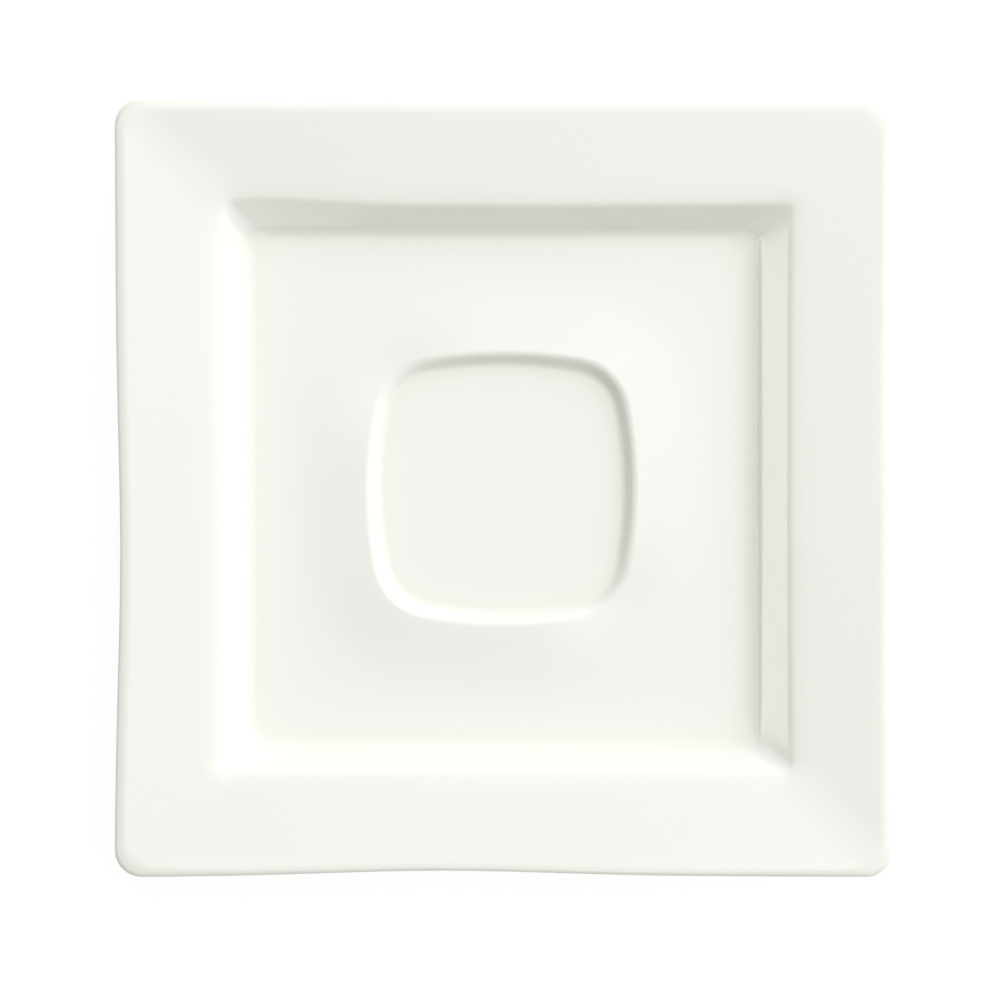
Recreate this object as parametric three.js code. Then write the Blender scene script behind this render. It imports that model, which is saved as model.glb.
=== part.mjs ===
// A square saucer in glazed porcelain. A broad rim slopes up to a rolled edge, drafted walls drop to
// a square well, and the floor of the well swells to a soft square seat for the foot of a cup.
// The body is pressed and fired in one piece, and it stands on a square foot ring. Glaze covers all of
// it except the bottom of the ring, which is wiped bare so that it doesn't stick to the kiln shelf.
// Millimetres, +Z up. The origin is on the table, under the middle of the saucer.
import * as THREE from "three";

// Widths, measured in plan
const saucerWidth = 150; // along one side, from corner to corner, over the glaze
const sideHollow = 0.75; // how far each outer side is drawn in at its middle
const mouthHollow = 0.3; // the same at the mouth of the well
const rimWidth = 19.05; // outer edge of the body to the mouth of the well
const lipRun = 2.2; // inner strip of the rim that rolls over into the well
const crownRun = 1.5; // outer strip of the rim that rolls down to the edge
const wallRun = 6; // ground covered by the sloping wall of the well
const seatWidth = 52.3; // across the mouth of the cup seat
const seatWallRun = 2; // ground covered by the wall of the cup seat
const moundShare = 0.63; // how far the mound reaches from the seat towards the wall of the well

// Heights
const footHeight = 3.4; // table to the underside of the base
const baseThickness = 4.6; // underside of the base to the floor of the well
const wellDepth = 5.86; // floor of the well to its mouth
const lipRise = 0.55; // mouth of the well to the level where the rim proper begins
const rimRise = 1.87; // from there to the crown, the highest line of the rim
const crownDrop = 0.38; // crown to the outer edge
const moundRise = 1.7; // floor of the well to the mouth of the cup seat
const seatDepth = 2.5; // mouth of the cup seat to its floor

// Thicknesses and the foot ring
const bodyThickness = 4.2; // rim and wall, square to their surfaces
const glazeThickness = 0.3;
const footInset = 3.6; // outer wall to the foot ring
const footWidth = 4; // foot ring where it leaves the base
const footDraft = 0.5; // how far each side of the ring leans in towards the table
const bareBand = 0.8; // height of the ring that is left unglazed

// Corner radii in plan, and how far the sides of the cup seat bulge
const edgeCorner = 4;
const mouthCorner = 3.5;
const floorCorner = 4.8;
const seatCorner = 11.6;
const seatBulge = 1.3;
const footCorner = 6.5;

// Fillet radii along the profile
const seatFootFillet = 1.8;
const seatMouthFillet = 1.5;
const moundFillet = 70;
const wallFootFillet = 3.2;
const mouthFillet = 2.7;
const lipFillet = 24;
const crownFillet = 4;
const edgeTopFillet = 0.7;
const edgeBottomFillet = 1.1;
const rimRootFillet = 6;
const wallRootFillet = 4;
const footRootFillet = 1.2;
const footToeFillet = 0.6;

// How finely arcs are divided
const filletSag = 0.03; // most that a flat facet cuts off a fillet
const cornerSteps = 5;
const sideSteps = 4;
const filletRoom = 0.98; // most of a straight stretch that the fillets at its ends may take

const quarterTurn = Math.PI / 2;
const { lerp } = THREE.MathUtils;

// Levels of the body, from the table up
const floorLevel = footHeight + baseThickness;
const mouthLevel = floorLevel + wellDepth;
const lipLevel = mouthLevel + lipRise;
const crownLevel = lipLevel + rimRise;
const edgeLevel = crownLevel - crownDrop;
const crestLevel = floorLevel + moundRise;
const seatLevel = crestLevel - seatDepth;

// Half-widths of the body at the middle of a side
const edgeHalf = saucerWidth / 2 - sideHollow - glazeThickness;
const crownHalf = edgeHalf - crownRun;
const mouthHalf = edgeHalf - rimWidth;
const lipHalf = mouthHalf + lipRun;
const floorHalf = mouthHalf - wallRun;
const crestHalf = seatWidth / 2;
const seatHalf = crestHalf - seatWallRun;
const moundHalf = lerp(crestHalf, floorHalf, moundShare);

// A section is a square with rounded corners at one height. Its half-width is taken at mid-side, and a
// positive bow bulges its sides. Its fillet rounds the profile where the section is a sharp corner.
function section(half, z, fillet, corner, bow) {
  return { half, z, fillet, corner, bow };
}

// The same outline, offset to another half-width
function offsetSection(from, half, z, fillet) {
  return section(half, z, fillet, from.corner + half - from.half, from.bow);
}

function axisPoint(z) {
  return section(0, z, 0, 0, 0);
}

// The straight line that lies one body thickness under the surface from one section to the next
function underLine(from, to) {
  const along = new THREE.Vector2(to.half - from.half, to.z - from.z).normalize();
  const down = new THREE.Vector2(along.y, -along.x);
  return { from: new THREE.Vector2(from.half, from.z).addScaledVector(down, bodyThickness), along };
}

function atHalf(line, half) {
  return line.from.y + ((half - line.from.x) * line.along.y) / line.along.x;
}

function atHeight(line, z) {
  return line.from.x + ((z - line.from.y) * line.along.x) / line.along.y;
}

function crossing(one, other) {
  const apart = new THREE.Vector2().subVectors(other.from, one.from);
  const reach = apart.cross(other.along) / one.along.cross(other.along);
  return one.from.clone().addScaledVector(one.along, reach);
}

// Top of the saucer, from the cup seat out to the edge
const crest = section(crestHalf, crestLevel, seatMouthFillet, seatCorner, seatBulge);
const seatFoot = offsetSection(crest, seatHalf, seatLevel, seatFootFillet);
const moundFoot = offsetSection(crest, moundHalf, floorLevel, moundFillet);
const wallFoot = section(floorHalf, floorLevel, wallFootFillet, floorCorner, 0);
const wellMouth = section(mouthHalf, mouthLevel, mouthFillet, mouthCorner, -mouthHollow);
const lip = offsetSection(wellMouth, lipHalf, lipLevel, lipFillet);
const edgeTop = section(edgeHalf, edgeLevel, edgeTopFillet, edgeCorner, -sideHollow);
const crown = offsetSection(edgeTop, crownHalf, crownLevel, crownFillet);

// Underside, from the edge in to the foot ring, one body thickness below the top
const rimUnder = underLine(lip, crown);
const wallUnder = underLine(wallFoot, wellMouth);
const rimRootPlace = crossing(rimUnder, wallUnder);
const edgeBottom = offsetSection(edgeTop, edgeHalf, atHalf(rimUnder, edgeHalf), edgeBottomFillet);
const rimRoot = offsetSection(wellMouth, rimRootPlace.x, rimRootPlace.y, rimRootFillet);
const wallRoot = offsetSection(wallFoot, atHeight(wallUnder, footHeight), footHeight, wallRootFillet);

// Foot ring: both sides lean in towards the table, and the glaze stops at the bare band
const toeLean = footDraft * (1 - bareBand / footHeight);
const footOuterRoot = section(wallRoot.half - footInset, footHeight, footRootFillet, footCorner, 0);
const outerGlazeLine = offsetSection(footOuterRoot, footOuterRoot.half - toeLean, bareBand, 0);
const footOuterToe = offsetSection(footOuterRoot, footOuterRoot.half - footDraft, 0, footToeFillet);
const footInnerHalf = footOuterRoot.half - footWidth;
const footInnerRoot = offsetSection(footOuterRoot, footInnerHalf, footHeight, footRootFillet);
const innerGlazeLine = offsetSection(footInnerRoot, footInnerHalf + toeLean, bareBand, 0);
const footInnerToe = offsetSection(footInnerRoot, footInnerHalf + footDraft, 0, footToeFillet);

// The whole profile, over the top and back underneath, with the outside of the body on its left
const seatChain = [axisPoint(seatLevel), seatFoot, crest, moundFoot];
const rimChain = [wallFoot, wellMouth, lip, crown, edgeTop];
const underChain = [edgeBottom, rimRoot, wallRoot, footOuterRoot, outerGlazeLine];
const toeChain = [footOuterToe, footInnerToe];
const baseChain = [innerGlazeLine, footInnerRoot, axisPoint(footHeight)];
const chain = [...seatChain, ...rimChain, ...underChain, ...toeChain, ...baseChain];

function stretchBetween(from, to) {
  return new THREE.Vector2(to.half - from.half, to.z - from.z);
}

function turnBetween(arriving, leaving) {
  return Math.atan2(arriving.cross(leaving), arriving.dot(leaving));
}

function leftOf(angle) {
  return new THREE.Vector2(-Math.sin(angle), Math.cos(angle));
}

function mixSections(from, to, share) {
  return {
    half: lerp(from.half, to.half, share),
    z: lerp(from.z, to.z, share),
    corner: lerp(from.corner, to.corner, share),
    bow: lerp(from.bow, to.bow, share),
  };
}

// Rings along the fillet at one section, each with its outward normal. The fillet starts and ends at the
// tangent length from the sharp corner. Corner radius and bow pass smoothly from one end to the other.
function filletRings(before, at, after, tangent) {
  const arriving = stretchBetween(before, at);
  const leaving = stretchBetween(at, after);
  const turn = turnBetween(arriving, leaving);
  const start = mixSections(at, before, tangent / arriving.length());
  const end = mixSections(at, after, tangent / leaving.length());
  if (tangent === 0) {
    return [{ ...start, normal: leftOf(arriving.angle()) }];
  }
  const radius = tangent / Math.tan(turn / 2);
  const centre = leftOf(arriving.angle()).multiplyScalar(radius).add({ x: start.half, y: start.z });
  const widestStep = 2 * Math.acos(1 - filletSag / Math.abs(radius));
  const steps = Math.max(2, Math.ceil(Math.abs(turn) / widestStep));
  return Array.from({ length: steps + 1 }, (_, step) => {
    const share = step / steps;
    const plan = mixSections(mixSections(start, at, share), mixSections(at, end, share), share);
    const normal = leftOf(arriving.angle() + share * turn);
    const place = centre.clone().addScaledVector(normal, -radius);
    return { half: place.x, z: place.y, corner: plan.corner, bow: plan.bow, normal };
  });
}

// Rings of the whole profile, one list for each section. Fillets that would run into each other shrink
// to share the straight stretch between them.
function roundProfile(sections) {
  const stretches = sections.slice(1).map((to, i) => stretchBetween(sections[i], to));
  const wanted = sections.map((at, i) => {
    const turn = at.half === 0 ? 0 : turnBetween(stretches[i - 1], stretches[i]);
    return at.fillet * Math.tan(Math.abs(turn) / 2);
  });
  const room = stretches.map((stretch, i) => (filletRoom * stretch.length()) / (wanted[i] + wanted[i + 1]));
  return sections.map((at, i) => {
    if (at.half === 0) {
      const level = stretches[i] ?? stretches[i - 1];
      return [{ ...at, normal: leftOf(level.angle()) }];
    }
    return filletRings(sections[i - 1], at, sections[i + 1], wanted[i] * Math.min(1, room[i - 1], room[i]));
  });
}

const profile = roundProfile(chain);

function ringsOf(from, to) {
  return profile.slice(chain.indexOf(from), chain.indexOf(to) + 1).flat();
}

// A ring moved out along its normal. Its corners keep their centres, so the wall between is even.
function grow(ring, distance) {
  const outwards = ring.half === 0 ? 0 : distance * ring.normal.x;
  return {
    ...ring,
    half: ring.half + outwards,
    corner: ring.corner + outwards,
    z: ring.z + distance * ring.normal.y,
  };
}

// Outline of a ring, counter-clockwise: four bowed sides and four corner arcs. It stands off by the
// corner radius from a core, which is a square with the same bowed sides and sharp corners.
function outline({ half, corner, bow }) {
  const core = half - corner - bow;
  const lean = 2 * Math.atan2(bow, core);
  const points = [];
  const standOff = (x, y, angle, quarter) => {
    const point = new THREE.Vector2(x + corner * Math.cos(angle), y + corner * Math.sin(angle));
    points.push(point.rotateAround(new THREE.Vector2(), quarter * quarterTurn));
  };
  for (let quarter = 0; quarter < 4; quarter += 1) {
    for (let step = 0; step < sideSteps; step += 1) {
      const share = (2 * step) / sideSteps - 1;
      const angle = share * lean;
      const across = lean === 0 ? share : Math.sin(angle) / Math.sin(lean);
      const out = lean === 0 ? 0 : (Math.cos(angle) - Math.cos(lean)) / Math.sin(lean);
      standOff(core + core * out, core * across, angle, quarter);
    }
    for (let step = 0; step < cornerSteps; step += 1) {
      standOff(core, core, lerp(lean, quarterTurn - lean, step / cornerSteps), quarter);
    }
  }
  return points;
}

function outlineInSpace(ring) {
  return outline(ring).map(({ x, y }) => new THREE.Vector3(x, y, ring.z));
}

// Two triangles between neighbouring rings, split along the shorter diagonal, so that two pieces which
// share a surface are split alike on it
function facet(points, a, b, c, d) {
  const splitAtA = points[a].distanceTo(points[c]) < points[b].distanceTo(points[d]);
  return splitAtA ? [a, b, c, a, c, d] : [b, c, d, b, d, a];
}

// Closed solid through a list of rings that starts and ends on the axis
function loft(rings) {
  const between = rings.slice(1, -1);
  const around = 4 * (sideSteps + cornerSteps);
  const points = between.flatMap(outlineInSpace);
  const firstPole = points.length;
  const lastPole = firstPole + 1;
  const lastRing = firstPole - around;
  points.push(new THREE.Vector3(0, 0, rings[0].z), new THREE.Vector3(0, 0, rings.at(-1).z));
  const faces = [];
  for (let i = 0; i < around; i += 1) {
    const next = (i + 1) % around;
    faces.push(firstPole, i, next);
    for (let near = 0; near < lastRing; near += around) {
      const far = near + around;
      faces.push(...facet(points, near + i, far + i, far + next, near + next));
    }
    faces.push(lastPole, lastRing + next, lastRing + i);
  }
  const geometry = new THREE.BufferGeometry().setFromPoints(points);
  geometry.setIndex(faces);
  geometry.computeVertexNormals();
  return geometry;
}

// Outer face of the glaze over some rings of the body
function glazeOver(rings) {
  return rings.map((ring) => grow(ring, glazeThickness));
}

const bisque = new THREE.MeshStandardMaterial({ color: "#e9e5d8", roughness: 0.75, metalness: 0 });
const glaze = new THREE.MeshStandardMaterial({ color: "#eff0e8", roughness: 0.08, metalness: 0 });

function piece(name, rings, material) {
  const mesh = new THREE.Mesh(loft(rings), material);
  mesh.name = name;
  return mesh;
}

// The glaze lies on the body itself: its inner face is the body's own surface, run the other way
const bodyRings = ringsOf(chain[0], chain.at(-1));
const coatRings = ringsOf(chain[0], outerGlazeLine);
const baseRings = ringsOf(innerGlazeLine, chain.at(-1));

const saucer = new THREE.Group();
saucer.name = "square_saucer";
saucer.add(
  piece("porcelain_body", bodyRings, bisque),
  piece("glaze_coat", [...glazeOver(coatRings), ...coatRings.toReversed()], glaze),
  piece("base_glaze", [...baseRings.toReversed(), ...glazeOver(baseRings)], glaze),
);

export default saucer;
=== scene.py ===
import bpy
import numpy as np
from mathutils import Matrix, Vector


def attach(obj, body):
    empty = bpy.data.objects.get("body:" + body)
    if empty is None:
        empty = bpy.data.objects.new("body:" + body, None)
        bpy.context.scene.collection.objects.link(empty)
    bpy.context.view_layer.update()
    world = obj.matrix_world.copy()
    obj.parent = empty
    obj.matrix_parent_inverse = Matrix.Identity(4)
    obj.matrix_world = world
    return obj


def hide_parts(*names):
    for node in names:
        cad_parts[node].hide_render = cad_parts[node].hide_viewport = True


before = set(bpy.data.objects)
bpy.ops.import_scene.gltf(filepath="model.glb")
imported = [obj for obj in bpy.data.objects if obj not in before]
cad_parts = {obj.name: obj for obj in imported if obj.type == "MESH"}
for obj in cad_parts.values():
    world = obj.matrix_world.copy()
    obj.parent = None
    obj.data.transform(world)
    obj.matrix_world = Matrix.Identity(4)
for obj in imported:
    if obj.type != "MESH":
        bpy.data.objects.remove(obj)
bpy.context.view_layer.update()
mm = 0.001
print("frame loaded:", ", ".join(sorted(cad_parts)))

# Sections of the pressed body in mm, over the top from the middle of the cup seat and back underneath.
# Each row: half-width at mid-side, height, fillet along the profile, corner radius and bulge in plan
sections = {
    "seatCentre": (0, 7.2, 0, 0, 0),
    "seatFoot": (24.15, 7.2, 1.8, 9.6, 1.3),
    "seatMouth": (26.15, 9.7, 1.5, 11.6, 1.3),
    "moundFoot": (40.483, 8, 70, 25.933, 1.3),
    "wallSkirt": (47, 8, 10, 5, 0),
    "wallFoot": (49, 8.11, 3.8, 3.2, 0),
    "wellMouth": (54.9, 13.86, 2.7, 2.3, -0.3),
    "lip": (57.1, 14.41, 24, 6.2, -0.3),
    "crown": (72.45, 16.28, 4, 5.4, -0.75),
    "edgeTop": (73.95, 15.9, 0.7, 4.9, -0.75),
    "edgeBottom": (73.95, 12.232, 1.1, 4.9, -0.75),
    "rimRoot": (57.148, 10.185, 6, 5.748, -0.3),
    "wallRoot": (50.201, 3.4, 4, 6.101, 0),
    "footOuterRoot": (46.601, 3.4, 1.2, 6.5, 0),
    "outerGlazeLine": (46.219, 0.8, 0, 6.118, 0),
    "footOuterToe": (46.101, 0, 0.6, 6, 0),
    "footInnerToe": (43.101, 0, 0.6, 3, 0),
    "innerGlazeLine": (42.984, 0.8, 0, 2.882, 0),
    "footInnerRoot": (42.601, 3.4, 1.2, 2.5, 0),
    "baseCentre": (0, 3.4, 0, 0, 0),
}

loft = {
    "perFillet": 48,  # samples on a fillet before the stations are spread
    "filletRoom": 0.98,  # most of a straight stretch that the fillets at its ends may take
    "turnPerStep": 2.6,  # degrees of bend that count as much as
    "runPerStep": 1.6,  # this many mm of straight run
    "wallZone": (46, 56.5),  # half-widths between which the stations lie closer
    "wallRunPerStep": 0.3,
    "perSide": 24,  # points along a side
    "perCorner": 28,  # points round a corner
}


# Unit vector to the left of a heading, which is the outside of the body
def leftOf(heading):
    return np.stack((-np.sin(heading), np.cos(heading)), axis=-1)


# Rounds every section: an arc starts and ends at fillet x tan(half the turn) from the sharp corner, and
# arcs that would meet shrink to share the stretch between them. Corner radius and bulge pass along a
# parabola from one end of the arc to the other. Returns place, plan and heading of every sample
def roundedProfile(rows):
    place, fillet, plan = rows[:, :2], rows[:, 2], rows[:, 3:]
    run = np.diff(place, axis=0)
    length = np.hypot(run[:, 0], run[:, 1])
    heading = np.unwrap(np.arctan2(run[:, 1], run[:, 0]))
    turn = np.concatenate(([0], np.diff(heading), [0]))
    tangent = fillet * np.tan(np.abs(turn) / 2)
    room = np.minimum(1, loft["filletRoom"] * length / np.maximum(tangent[:-1] + tangent[1:], 1e-9))
    tangent[1:-1] *= np.minimum(room[:-1], room[1:])
    before = np.concatenate(([0], np.arange(len(run))))  # stretch that arrives at each section
    after = np.concatenate((np.arange(len(run)), [len(run) - 1]))  # stretch that leaves it
    share = np.linspace(0, 1, loft["perFillet"])[None, :, None]
    arriving = heading[before]
    radius = np.divide(tangent, np.tan(turn / 2), out=np.zeros_like(turn), where=tangent > 0)
    start = place - tangent[:, None] * run[before] / length[before][:, None]
    centre = start + radius[:, None] * leftOf(arriving)
    angle = arriving[:, None] + share[..., 0] * turn[:, None]
    samples = centre[:, None] - radius[:, None, None] * leftOf(angle)
    step = np.diff(plan, axis=0) / length[:, None]
    planStart = (plan - tangent[:, None] * step[before])[:, None]
    planEnd = (plan + tangent[:, None] * step[after])[:, None]
    planAt = plan[:, None]
    planned = (1 - share) ** 2 * planStart + 2 * share * (1 - share) * planAt + share ** 2 * planEnd
    return samples.reshape(-1, 2), planned.reshape(-1, 2), angle.ravel()


profilePlace, profilePlan, profileHeading = roundedProfile(np.array(list(sections.values()), float))
profileRun = np.concatenate(([0], np.cumsum(np.hypot(*np.diff(profilePlace, axis=0).T))))
profileTurn = np.concatenate(([0], np.cumsum(np.abs(np.diff(profileHeading)))))
profileEffort = profileRun / loft["runPerStep"] + np.degrees(profileTurn) / loft["turnPerStep"]
# The stations lie closer on the wall of the well, where its lines drift
overWall = slice(0, list(sections).index("crown") * loft["perFillet"])
inWall = np.clip(profilePlace[overWall, 0], *loft["wallZone"]) - loft["wallZone"][0]
profileEffort[overWall] += inWall / loft["wallRunPerStep"]
profileEffort[overWall.stop:] += inWall[-1] / loft["wallRunPerStep"]

# Reach and strength of the darker tone in hollows: partly glaze pooling, partly painted shade
poolingAndShade = {
    "reach": 2.2,  # mm along the profile
    "gain": 5,
}


# How much glaze gathers along the profile, and how much painted shade the hollows get: the sum of the turns
# nearby, each weighted by a bell curve of its distance. It runs from -1 on edges to 1 in tight hollows
def poolAndShadeAt(run):
    turns = np.diff(profileHeading, prepend=profileHeading[0])
    apart = run[:, None] - profileRun[None, :]
    bell = np.exp(-((apart / poolingAndShade["reach"]) ** 2)) / (poolingAndShade["reach"] * np.sqrt(np.pi))
    return np.clip(bell @ turns * poolingAndShade["gain"], -1, 1)


# Stations from one section to another, spread evenly over run and bend together
def stationsBetween(first, last, count):
    names = list(sections)
    middle = loft["perFillet"] // 2
    ends = [profileEffort[names.index(name) * loft["perFillet"] + middle] for name in (first, last)]
    effort = np.linspace(ends[0], ends[1], count)

    def pick(values):
        return np.interp(effort, profileEffort, values)

    return {
        "half": pick(profilePlace[:, 0]),
        "height": pick(profilePlace[:, 1]),
        "corner": pick(profilePlan[:, 0]),
        "bow": pick(profilePlan[:, 1]),
        "heading": pick(profileHeading),
        "run": pick(profileRun),
        # glaze pooling plus painted shade, darkest in tight hollows
        "poolAndShade": poolAndShadeAt(pick(profileRun)),
    }


# The same stations moved out along their normals. Corners keep their centres, so the coat is even
def grown(stations, depth):
    out = leftOf(stations["heading"]) * np.reshape(depth, (-1, 1))
    sideways = np.where(stations["half"] > 1e-6, out[:, 0], 0)
    moved = {"half": sideways, "corner": sideways, "height": out[:, 1]}
    return {name: values + moved.get(name, 0) for name, values in stations.items()}


def joined(*parts):
    return {name: np.concatenate([part[name] for part in parts]) for name in parts[0]}


def reversedRun(stations):
    return {name: values[::-1] for name, values in stations.items()}


# Outlines of all stations at once. A core square has sides bowed to circular arcs, and the outline stands
# off from it by the corner radius: along a side the angle runs from minus to plus the arc's lean, and
# round a corner from the lean to a right angle less the lean. Quarter turns give the other sides
def outlines(stations):
    half, corner, bow = (stations[name][:, None] for name in ("half", "corner", "bow"))
    core = half - corner - bow
    lean = 2 * np.arctan2(bow, np.maximum(core, 1e-9)) + 1e-9
    along = np.linspace(-1, 1, loft["perSide"], endpoint=False)[None]
    sideAngle = along * lean
    sideX = core + core * (np.cos(sideAngle) - np.cos(lean)) / np.sin(lean) + corner * np.cos(sideAngle)
    sideY = core * np.sin(sideAngle) / np.sin(lean) + corner * np.sin(sideAngle)
    around = np.linspace(0, 1, loft["perCorner"], endpoint=False)[None]
    cornerAngle = lean + around * (np.pi / 2 - 2 * lean)
    x = np.concatenate((sideX, core + corner * np.cos(cornerAngle)), axis=1)
    y = np.concatenate((sideY, core + corner * np.sin(cornerAngle)), axis=1)
    ringX = np.concatenate((x, -y, -x, y), axis=1)
    ringY = np.concatenate((y, x, -y, -x), axis=1)
    return ringX, ringY, np.repeat(stations["height"][:, None], ringX.shape[1], axis=1)


warp = {
    "evenHollow": 0.75,  # hollow that every side has in the sections
    "keeps": {"right": 0.4, "top": 0.35, "left": 0.25, "bottom": 0.2},  # share of it that each side keeps
    "dent": {"right": 0.0, "top": 0.0, "left": 0.85, "bottom": 1.05},  # depth of the soft dent that it gets
    "dentAt": {"right": 0, "top": 0, "left": -13, "bottom": -12},  # middle of the dent along the side
    "dentReach": 30,
    "mouthDrift": {"right": 0.7, "top": -0.1, "left": 0, "bottom": -0.1},  # mouth of the well moved outwards
    "mouthSpan": (50.5, 54.5, 58, 74),  # where the drift starts, is full, starts to fade and has gone
    "footDrift": {"right": -0.6, "top": 0.8, "left": 0.3, "bottom": 0.75},  # foot of its wall moved outwards
    "footSpan": (40, 47.2, 47.6, 54.7),
    "toeDrift": {"right": -0.83, "top": 0, "left": 0, "bottom": 0},  # floor side of that foot
    "toeSpan": (40, 46.5, 46.9, 49.4),
    "recessDrift": {"right": -0.6, "top": 0, "left": 0.1, "bottom": 0.1},  # wall of the recess
    "recessSpan": (14, 23, 27.5, 38),
    "seatDrift": {"right": 0.1, "top": 0.25, "left": 0, "bottom": 0},  # foot of that wall
    "seatSpan": (14, 23.3, 24.5, 26.2),
    "flare": 1.2,  # left end of the upper wall, whose mouth opens further
    "flareAt": -52,
    "flareReach": 20,
    "flareSpan": (50.3, 54.7, 58, 74),
    "tuck": 0.85,  # the upper left corner of the mouth is drawn in
    "tuckAt": (-54.5, 54.5),
    "tuckReach": 4.6,
    "lift": {"right": 0, "top": 0, "left": 0, "bottom": 0.25},  # rise of the outermost edge
    "liftSpan": (72.2, 73.7),
    "sag": 0.45,  # share of its height over the seat that the crest loses at two corners
    "sagAt": 31,  # distance of those places from the middle
    "sagReach": 8,
    "sagNarrow": 4,  # power that keeps the sag to the diagonal
    "fadesFrom": 57,  # the rim's inner part stays true
    "edge": 74.25,
    "corner": 71,  # where a side's own hollow ends
    "cornerFade": 3,  # how fast dents and lift set in from the corner
}


# What the kiln does to the true form. Each side of the rim is pulled in by its own amount: what it gives
# up of the even hollow, a parabola that ends at the corners, and a dent, a bell curve. Both fade towards
# the well. Its outermost edge rises on a straight ramp. Each line of the well moves out by a drift that
# climbs, holds and falls over its span. At the upper left the mouth flares on a bell curve along the
# wall, and its corner is drawn in on a bell curve of the distance. At two opposite corners of the recess
# the crest loses a share of its height over the seat, on a bell curve of the distance from the middle
def kilnWarp(x, y, z):
    moved = [x.copy(), y.copy(), z.copy()]
    sides = {"right": (0, 1), "top": (1, 1), "left": (0, -1), "bottom": (1, -1)}
    for side, (axis, sign) in sides.items():
        out = sign * (x, y)[axis]
        along = (y, x)[axis]
        fade = np.clip((out - warp["fadesFrom"]) / (warp["edge"] - warp["fadesFrom"]), 0, 1)
        parabola = np.clip(1 - (along / warp["corner"]) ** 2, 0, None)
        bell = np.exp(-(((along - warp["dentAt"][side]) / warp["dentReach"]) ** 2))
        away = np.clip(parabola * warp["cornerFade"], 0, 1)
        bell *= away
        pull = warp["dent"][side] * bell - (1 - warp["keeps"][side]) * warp["evenHollow"] * parabola
        moved[axis] -= sign * pull * fade ** 2 * (3 - 2 * fade)
        rise = np.interp(out, warp["liftSpan"], (0, 1)) * away
        moved[2] += warp["lift"][side] * rise
        for line in ("mouth", "foot", "toe", "recess", "seat"):
            drift = np.interp(out, warp[line + "Span"], (0, 1, 1, 0))
            moved[axis] += sign * warp[line + "Drift"][side] * drift
    flared = warp["flare"] * np.exp(-(((x - warp["flareAt"]) / warp["flareReach"]) ** 2))
    moved[1] += flared * np.interp(y, warp["flareSpan"], (0, 1, 1, 0))
    apart = np.hypot(x - warp["tuckAt"][0], y - warp["tuckAt"][1])
    tucked = warp["tuck"] * np.exp(-((apart / warp["tuckReach"]) ** 2))
    moved[0] += tucked
    moved[1] -= tucked
    diagonal = np.clip(-2 * x * y / np.maximum(x ** 2 + y ** 2, 1e-9), 0, 1) ** warp["sagNarrow"]
    ringed = np.exp(-(((np.hypot(x, y) - warp["sagAt"]) / warp["sagReach"]) ** 2))
    seat = sections["seatFoot"][1] + coat["depth"]
    moved[2] -= warp["sag"] * diagonal * ringed * np.clip(z - seat, 0, None)
    return moved


# Closed shell through stations that start and end on the axis. The first and last become the poles, and
# each ring joins the next with quads
def shell(name, stations):
    x, y, z = kilnWarp(*outlines(stations))
    rings, around = x.shape
    grid = np.stack((x, y, z), axis=-1)
    points = np.concatenate((grid[1:-1].reshape(-1, 3), grid[0, :1], grid[-1, :1])) * mm
    here = np.arange(around)
    following = (here + 1) % around
    ring = (np.arange(rings - 3) * around)[:, None]
    nextRing = ring + around
    quads = np.stack((ring + here, nextRing + here, nextRing + following, ring + following), axis=-1)
    lastRing = (rings - 3) * around
    firstPole, lastPole = len(points) - 2, len(points) - 1
    firstFan = np.stack((np.full(around, firstPole), here, following), axis=-1)
    lastFan = np.stack((np.full(around, lastPole), lastRing + following, lastRing + here), axis=-1)
    mesh = bpy.data.meshes.new(name)
    mesh.from_pydata(points, [], quads.reshape(-1, 4).tolist() + firstFan.tolist() + lastFan.tolist())
    mesh.shade_smooth()
    # Glaze pooling plus painted shade in the hollows, carried on every point for the glaze
    poolAndShade = stations["poolAndShade"]
    carried = np.concatenate((np.repeat(poolAndShade[1:-1], around), poolAndShade[:1], poolAndShade[-1:]))
    mesh.attributes.new("poolAndShade", "FLOAT", "POINT").data.foreach_set("value", carried.astype(np.float32))
    piece = bpy.data.objects.new(name, mesh)
    bpy.context.scene.collection.objects.link(piece)
    print("made", name, len(mesh.vertices), "points,", len(mesh.polygons), "faces")
    return piece


# Value on a wire between nodes. Arithmetic on it adds Math nodes
class Wire:
    def __init__(self, bench, socket):
        self.bench = bench
        self.socket = socket

    def __add__(self, other):
        return self.bench.maths("ADD", self, other)

    def __sub__(self, other):
        return self.bench.maths("SUBTRACT", self, other)

    def __rsub__(self, other):
        return self.bench.maths("SUBTRACT", other, self)

    def __mul__(self, other):
        return self.bench.maths("MULTIPLY", self, other)

    __radd__ = __add__
    __rmul__ = __mul__


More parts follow.
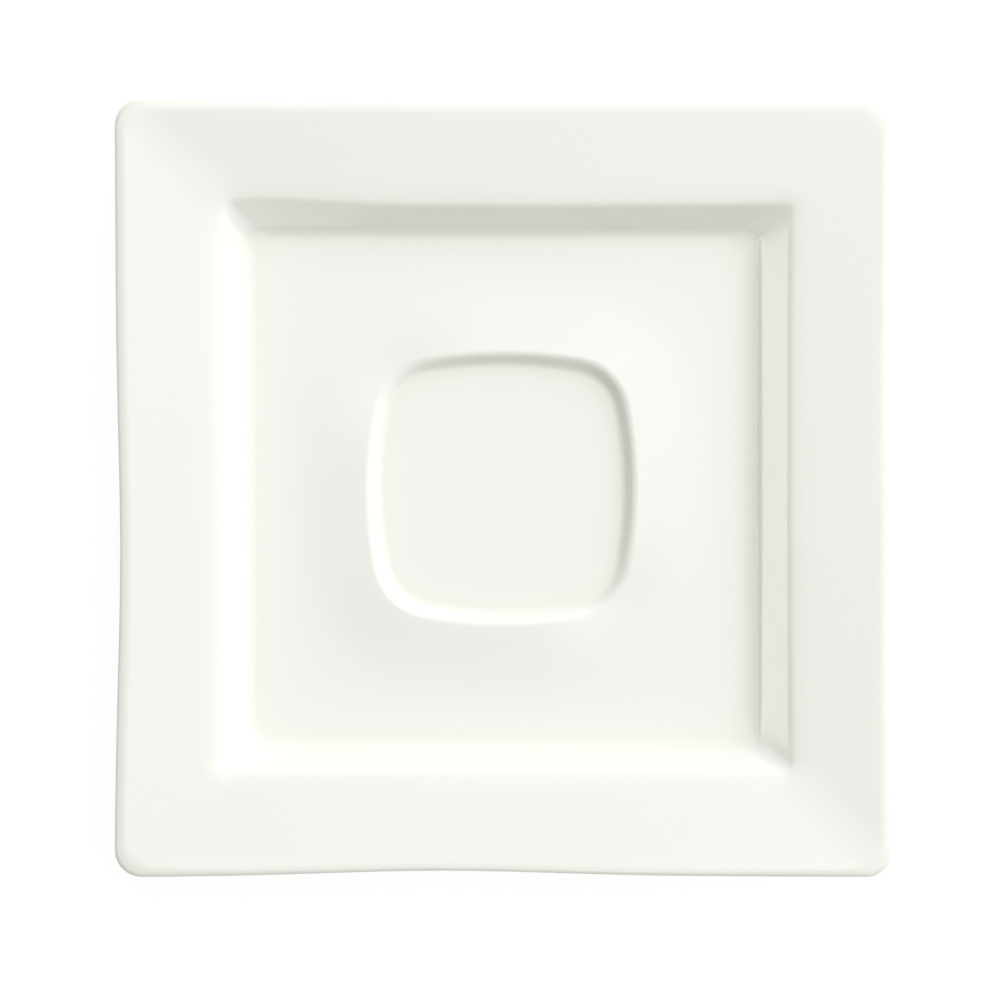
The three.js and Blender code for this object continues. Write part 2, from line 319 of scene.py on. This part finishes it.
# Makes the nodes of one material or of the world
class Bench:
    def __init__(self, owner):
        owner.use_nodes = True
        self.tree = owner.node_tree
        self.tree.nodes.clear()

    def node(self, kind, settings, sockets, out=0):
        made = self.tree.nodes.new(kind)
        for key, value in settings.items():
            setattr(made, key, value)
        for key, value in sockets.items():
            if isinstance(value, Wire):
                self.tree.links.new(value.socket, made.inputs[key])
            else:
                made.inputs[key].default_value = value
        return Wire(self, made.outputs[out]) if made.outputs else made

    def maths(self, operation, *terms):
        return self.node("ShaderNodeMath", {"operation": operation}, dict(enumerate(terms)))

    def ramp(self, value, low, high):  # 0 at low, 1 at high, soft between
        sockets = {"Value": value, "From Min": low, "From Max": high}
        return self.node("ShaderNodeMapRange", {"interpolation_type": "SMOOTHSTEP"}, sockets)

    def blend(self, share, first, second):  # colours, first at 0
        sockets = {0: share, 6: first, 7: second}
        return self.node("ShaderNodeMix", {"data_type": "RGBA"}, sockets, 2)

    def place(self):
        return self.node("ShaderNodeTexCoord", {}, {}, "Object")

    def noise(self, scale, detail):
        sockets = {"Vector": self.place(), "Scale": scale, "Detail": detail}
        return self.node("ShaderNodeTexNoise", {}, sockets)

    def bump(self, height, depth):
        return self.node("ShaderNodeBump", {}, {"Height": height, "Distance": depth, "Strength": 1.0})

    def finish(self, shader, kind="ShaderNodeOutputMaterial"):
        self.node(kind, {}, {"Surface": shader})


glazeFinish = {
    "colour": (0.875, 0.877, 0.869, 1),
    # Darker, yellower tone in hollows: partly pooled glaze, partly painted shade
    "pooledAndShaded": (0.848, 0.857, 0.827, 1),  # where it runs together in hollows
    "thin": (0.881, 0.882, 0.873, 1),  # where it draws back from edges
    "clouded": (0.866, 0.87, 0.857, 1),  # broad faint clouds in the firing
    "poolAndShadeRange": (0.05, 0.9),
    "thinRange": (0.1, 1.0),
    "cloudScale": 38,  # per metre, as all scales
    "cloudDetail": 2.0,
    "cloudRange": (0.4, 0.75),
    "cloudShare": 0.35,
    "roughness": (0.05, 0.09),
    "roughScale": 210,
    "roughDetail": 3.0,
    "peelScale": 620,
    "peelDetail": 1.0,
    "peelDepth": 0.0000012,  # metres
    "swellScale": 95,
    "swellDetail": 0.0,
    "swellDepth": 0.000006,
    "ior": 1.5,
}


# White porcelain glaze: deeper in tone in hollows, partly where the glaze pools and partly as painted shade,
# lighter on edges where it thins, with the faint clouds and the slight orange peel of a fired glass
def glazeMaterial():
    material = bpy.data.materials.new("porcelainGlaze")
    bench = Bench(material)
    poolAndShade = bench.node("ShaderNodeAttribute", {"attribute_name": "poolAndShade"}, {}, "Fac")
    mottle = bench.noise(glazeFinish["cloudScale"], glazeFinish["cloudDetail"])
    clouds = bench.ramp(mottle, *glazeFinish["cloudRange"]) * glazeFinish["cloudShare"]
    colour = bench.blend(clouds, glazeFinish["colour"], glazeFinish["clouded"])
    # Hollows take the darker tone: partly pooled glaze, partly painted shade
    colour = bench.blend(bench.ramp(poolAndShade, *glazeFinish["poolAndShadeRange"]), colour, glazeFinish["pooledAndShaded"])
    colour = bench.blend(bench.ramp(0 - poolAndShade, *glazeFinish["thinRange"]), colour, glazeFinish["thin"])
    smooth, dull = glazeFinish["roughness"]
    rough = bench.noise(glazeFinish["roughScale"], glazeFinish["roughDetail"])
    peel = bench.noise(glazeFinish["peelScale"], glazeFinish["peelDetail"]) * glazeFinish["peelDepth"]
    swell = bench.noise(glazeFinish["swellScale"], glazeFinish["swellDetail"]) * glazeFinish["swellDepth"]
    sockets = {
        "Base Color": colour,
        "Roughness": smooth + rough * (dull - smooth),
        "IOR": glazeFinish["ior"],
        "Normal": bench.bump(peel + swell, 1.0),
    }
    bench.finish(bench.node("ShaderNodeBsdfPrincipled", {}, sockets))
    return material


bareFinish = {
    "colour": (0.80, 0.77, 0.70, 1),
    "grit": (0.70, 0.66, 0.58, 1),
    "rubbed": (0.50, 0.48, 0.45, 1),
    "gritScale": 2600,
    "gritDetail": 3.0,
    "gritRange": (0.45, 0.7),
    "gritDepth": 0.00003,
    "standing": (0.00002, 0.0003),  # heights over the table where rub marks are full, and have gone
    "rubScale": 130,
    "rubDetail": 4.0,
    "rubRange": (0.52, 0.72),
    "rubShare": 0.45,
    "roughness": 0.68,
    "gritRoughness": 0.2,
    "ior": 1.5,
}


# Fired clay with no glaze: a fine grit, and grey rub marks on the face that stands on the table
def bareMaterial():
    material = bpy.data.materials.new("barePorcelain")
    bench = Bench(material)
    grit = bench.noise(bareFinish["gritScale"], bareFinish["gritDetail"])
    colour = bench.blend(bench.ramp(grit, *bareFinish["gritRange"]), bareFinish["colour"], bareFinish["grit"])
    height = bench.node("ShaderNodeSeparateXYZ", {}, {0: bench.place()}, 2)
    standing = 1 - bench.ramp(height, *bareFinish["standing"])
    rub = bench.ramp(bench.noise(bareFinish["rubScale"], bareFinish["rubDetail"]), *bareFinish["rubRange"])
    colour = bench.blend(standing * rub * bareFinish["rubShare"], colour, bareFinish["rubbed"])
    sockets = {
        "Base Color": colour,
        "Roughness": bareFinish["roughness"] + grit * bareFinish["gritRoughness"],
        "IOR": bareFinish["ior"],
        "Normal": bench.bump(grit * bareFinish["gritDepth"], 1.0),
    }
    bench.finish(bench.node("ShaderNodeBsdfPrincipled", {}, sockets))
    return material


glaze = glazeMaterial()
barePorcelain = bareMaterial()
print("materials made")

coat = {
    "depth": 0.3,
    "stations": 330,
    "innerStations": 64,
    "edgeRun": 0.7,  # the coat thins to nothing over this run at the bare band
}


# Depth of the coat: full away from its edge, and a quarter round down to nothing at the edge
def coatDepth(run, edge):
    near = np.clip(np.abs(run - edge) / coat["edgeRun"], 0, 1)
    return coat["depth"] * np.sqrt(1 - (1 - near) ** 2)


def dress(piece, node, material):
    piece.data.materials.append(material)
    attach(piece, "root")
    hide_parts(node)


overBody = stationsBetween("seatCentre", "outerGlazeLine", coat["stations"])
overGlaze = grown(overBody, coatDepth(overBody["run"], overBody["run"][-1]))
underGlaze = stationsBetween("seatCentre", "outerGlazeLine", coat["innerStations"])
coatStations = joined(overGlaze, reversedRun(underGlaze))
glazeCoat = shell("glazeCoat", coatStations)
dress(glazeCoat, "glaze_coat", glaze)

base = {
    "stations": 70,
    "innerStations": 30,
}
baseBody = stationsBetween("innerGlazeLine", "baseCentre", base["stations"])
baseFace = grown(baseBody, coatDepth(baseBody["run"], baseBody["run"][0]))
baseUnder = stationsBetween("innerGlazeLine", "baseCentre", base["innerStations"])
baseStations = joined(reversedRun(baseUnder), baseFace)
baseGlaze = shell("baseGlaze", baseStations)
dress(baseGlaze, "base_glaze", glaze)

body = {
    "stations": 190,
}
bodyStations = stationsBetween("seatCentre", "baseCentre", body["stations"])
porcelainBody = shell("porcelainBody", bodyStations)
dress(porcelainBody, "porcelain_body", barePorcelain)
print("pieces dressed")

table = {
    "half": 2.5,  # metres
    "level": -0.0003,  # just clear of the foot
    "colour": (0.97, 0.97, 0.97, 1),
    "glow": 1.05,
    "glowShare": 0.88,  # the rest is lit and carries the shadow
}


# Pale table: part of what the eye sees is its lit surface with the shadow, and the rest an even white.
# From below it is clear, so that the foot can be looked at
def tableTop():
    half, level = table["half"], table["level"]
    corners = [(-half, -half, level), (half, -half, level), (half, half, level), (-half, half, level)]
    mesh = bpy.data.meshes.new("tableTop")
    mesh.from_pydata(corners, [], [(0, 1, 2, 3)])
    top = bpy.data.objects.new("tableTop", mesh)
    bpy.context.scene.collection.objects.link(top)
    material = bpy.data.materials.new("paleTable")
    bench = Bench(material)
    seen = seenRays(bench)
    lit = bench.node("ShaderNodeBsdfDiffuse", {}, {"Color": table["colour"]})
    white = bench.node("ShaderNodeEmission", {}, {"Strength": table["glow"]})
    surface = bench.node("ShaderNodeMixShader", {}, {0: seen * table["glowShare"], 1: lit, 2: white})
    below = bench.node("ShaderNodeNewGeometry", {}, {}, "Backfacing")
    clear = bench.node("ShaderNodeBsdfTransparent", {}, {})
    bench.finish(bench.node("ShaderNodeMixShader", {}, {0: below, 1: surface, 2: clear}))
    mesh.materials.append(material)


# 1 for rays from the camera and for those mirrored or passed on by a piece
def seenRays(bench):
    names = ("Is Camera Ray", "Is Glossy Ray", "Is Transmission Ray")
    rays = [bench.node("ShaderNodeLightPath", {}, {}, name) for name in names]
    return bench.maths("MAXIMUM", rays[0], bench.maths("MAXIMUM", rays[1], rays[2]))


studio = {
    "roomLight": 0.285,  # what the white room gives from everywhere
    "roomColour": (0.975, 1.0, 0.79, 1),
    "backColour": (1.0, 1.0, 1.0, 1),  # what is seen and mirrored of it
    "wattsPerRadiance": 4,  # watts for each square metre of an area lamp
    "key": {  # lights the saucer without a reflection of its own
        "azimuth": 41,
        "zenith": 41,
        "distance": 1.5,
        "size": (3.0, 3.0),
        "radiance": 1.37,
        "colour": (1, 1, 1),
        "lights": True,
        "mirrored": False,
    },
    "card": {  # low on the left, only to be mirrored in the right wall of the well
        "azimuth": 180,
        "zenith": 70.1,
        "distance": 0.958,
        "size": (0.44, 0.09),
        "radiance": 2.9,
        "colour": (1, 1, 0.9),
        "lights": False,
        "mirrored": True,
    },
    "sideCard": {  # low in front, a faint sheen on the left end of the upper wall
        "azimuth": 262,
        "zenith": 80,
        "distance": 1.0,
        "size": (0.36, 0.3),
        "radiance": 0.5,
        "colour": (1, 1, 0.93),
        "lights": False,
        "mirrored": True,
    },
}


# Flat lamp that faces the saucer, from an azimuth counted from +X and an angle from straight up
def softbox(name, spec):
    azimuth, zenith = np.radians(spec["azimuth"]), np.radians(spec["zenith"])
    towards = Vector((np.cos(azimuth) * np.sin(zenith), np.sin(azimuth) * np.sin(zenith), np.cos(zenith)))
    light = bpy.data.lights.new(name, "AREA")
    light.shape = "RECTANGLE"
    light.size, light.size_y = spec["size"]
    light.color = spec["colour"]
    light.energy = spec["radiance"] * studio["wattsPerRadiance"] * light.size * light.size_y
    lamp = bpy.data.objects.new(name, light)
    lamp.location = towards * spec["distance"]
    lamp.rotation_euler = towards.to_track_quat("Z", "Y").to_euler()
    lamp.visible_camera = False
    lamp.visible_diffuse = spec["lights"]
    lamp.visible_glossy = spec["mirrored"]
    bpy.context.scene.collection.objects.link(lamp)


# Pale room that lights softly and tinted, and is white where it is seen or mirrored
def whiteRoom():
    world = bpy.data.worlds.new("whiteRoom")
    bpy.context.scene.world = world
    bench = Bench(world)
    seen = seenRays(bench)
    colour = bench.blend(seen, studio["roomColour"], studio["backColour"])
    strength = studio["roomLight"] + seen * (1 - studio["roomLight"])
    glow = bench.node("ShaderNodeBackground", {}, {"Color": colour, "Strength": strength})
    bench.finish(glow, "ShaderNodeOutputWorld")


tableTop()
whiteRoom()
softbox("keyLight", studio["key"])
softbox("lowCard", studio["card"])
softbox("sideCard", studio["sideCard"])
print("table and lights placed")

view = {
    "lens": 150,
    "sensor": 36,
    "place": (-0.00070, -0.00232, 0.819),  # straight above, a little off the middle
}
camera = bpy.data.cameras.new("fromAbove")
camera.lens = view["lens"]
camera.sensor_width = view["sensor"]
cameraObject = bpy.data.objects.new("fromAbove", camera)
cameraObject.location = view["place"]
bpy.context.scene.collection.objects.link(cameraObject)
bpy.context.scene.camera = cameraObject
bpy.context.scene.view_settings.view_transform = "Standard"
print("camera placed")
